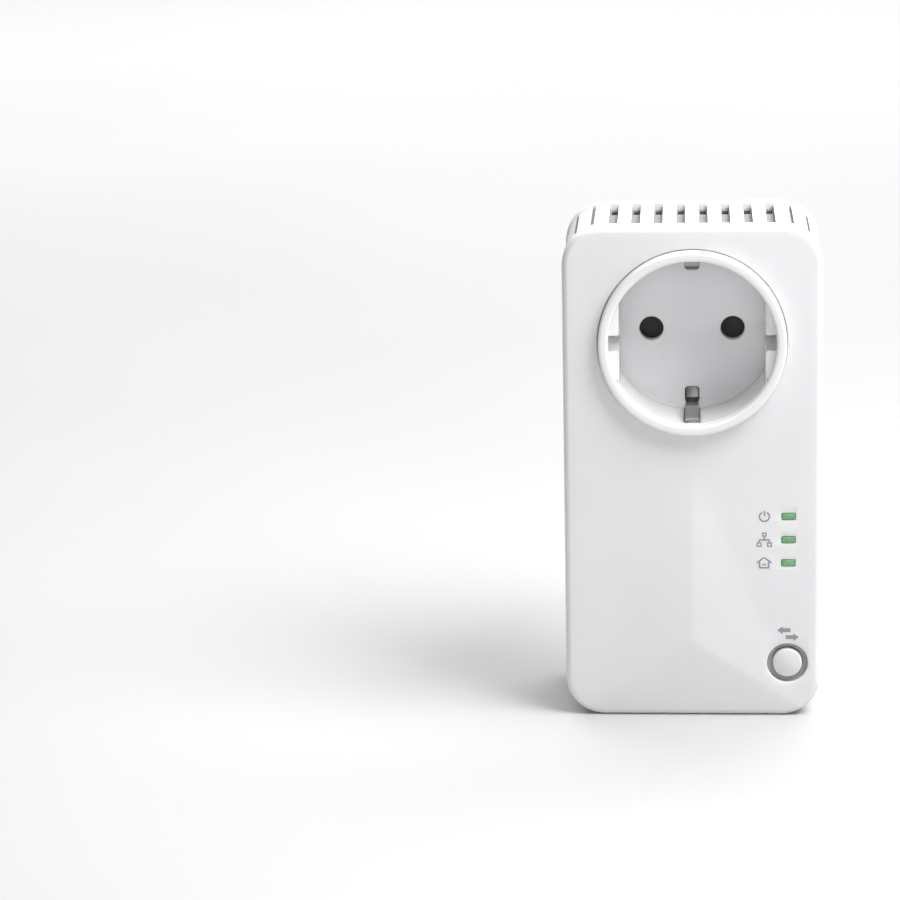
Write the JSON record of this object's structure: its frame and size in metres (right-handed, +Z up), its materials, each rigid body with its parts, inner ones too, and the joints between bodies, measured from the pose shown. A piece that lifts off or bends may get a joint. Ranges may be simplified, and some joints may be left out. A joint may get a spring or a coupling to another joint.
{
  "type": "powerline adapter",
  "caption": "Plug-in powerline network adapter with a pass-through mains socket, slatted sides, status lights, a pair button and a network jack underneath.",
  "frame": {"origin": "centre of the plug nose end face, on the common axis of plug and socket", "axes": "+Y out of the plug nose into the wall (the front faces -Y), +Z up along the body, +X to the right of someone facing the front"},
  "size_m": [0.0598, 0.0734, 0.1178],
  "materials": {
    "white_shell": "satin moulded white",
    "gloss_white": "gloss moulded white",
    "grey_white": "satin light grey",
    "dark_plastic": "matte black",
    "spring_steel": "drawn steel",
    "nickel": "nickel plated",
    "brass": "bright brass",
    "green_lens": "green translucent lens",
    "clear_film": "pale translucent",
    "circuit_board": "green solder mask",
    "yellow_plastic": "satin yellow",
    "gold": "gold plated",
    "ferrite": "dark ferrite",
    "winding_tape": "yellow winding tape",
    "can_aluminium": "satin aluminium",
    "black_sleeve": "black shrink sleeve",
    "grey_box": "grey moulded box",
    "blue_disc": "blue epoxy disc"
  },
  "bodies": {
    "housing": {"front_cover": "white_shell", "vent_frame": "white_shell", "port_panel": "white_shell", "rear_cover": "white_shell", "socket_insert": "gloss_white", "contact_carrier": "grey_white", "tact_switch": "dark_plastic", "board_link": "dark_plastic", "lan_transformer": "dark_plastic", "modem_chip": "dark_plastic", "shutter_spring": "spring_steel", "housing_screw_1": "spring_steel", "housing_screw_2": "spring_steel", "housing_screw_3": "spring_steel", "housing_screw_4": "spring_steel", "live_pin": "nickel", "neutral_pin": "nickel", "plug_earth_upper": "nickel", "plug_earth_lower": "nickel", "earth_bracket": "nickel", "live_sleeve": "brass", "neutral_sleeve": "brass", "live_busbar": "brass", "neutral_busbar": "brass", "light_pipe_power": "green_lens", "light_pipe_network": "green_lens", "light_pipe_link": "green_lens", "led_power": "clear_film", "led_network": "clear_film", "led_link": "clear_film", "line_fuse": "clear_film", "insulating_sheet": "clear_film", "led_board": "circuit_board", "main_board": "circuit_board", "lan_jack": "yellow_plastic", "lan_contacts": "gold", "coupling_transformer": "ferrite", "transformer_core": "ferrite", "common_mode_choke": "ferrite", "transformer_bobbin": "winding_tape", "heat_sink": "can_aluminium", "crystal": "can_aluminium", "bulk_capacitor": "black_sleeve", "output_capacitor_1": "black_sleeve", "output_capacitor_2": "black_sleeve", "x_capacitor": "grey_box", "varistor": "blue_disc"},
    "button_body": {"pair_button": "grey_white"},
    "plunger_body": {"switch_plunger": "dark_plastic"},
    "shutter_body": {"socket_shutter": "dark_plastic"},
    "upper_clip_body": {"earth_clip_upper": "nickel"},
    "lower_clip_body": {"earth_clip_lower": "nickel"}
  },
  "joints": [
    {"name": "button_press", "type": "slide", "parent": "housing", "child": "button_body", "axis": [0, 1, 0], "range_m": [0, 0.0005], "stiffness_N_per_m": 1500},
    {"name": "plunger_press", "type": "slide", "parent": "housing", "child": "plunger_body", "axis": [0, 1, 0], "range_m": [0, 0.0005]},
    {"name": "shutter_slide", "type": "slide", "parent": "housing", "child": "shutter_body", "axis": [0, 0, -1], "range_m": [0, 0.0062], "stiffness_N_per_m": 80, "springref_m": -0.003, "deforming": ["shutter_spring"]},
    {"name": "upper_clip_flex", "type": "hinge", "parent": "housing", "child": "upper_clip_body", "pos_m": [0, -0.0369, 0.0183], "axis": [-1, 0, 0], "range_deg": [0, 5], "stiffness_Nm_per_rad": 0.2},
    {"name": "lower_clip_flex", "type": "hinge", "parent": "housing", "child": "lower_clip_body", "pos_m": [0, -0.0369, -0.0183], "axis": [1, 0, 0], "range_deg": [0, 5], "stiffness_Nm_per_rad": 0.2}
  ],
  "couplings": [
    {"joint": "plunger_press", "follows": "button_press", "ratio": 1}
  ]
}
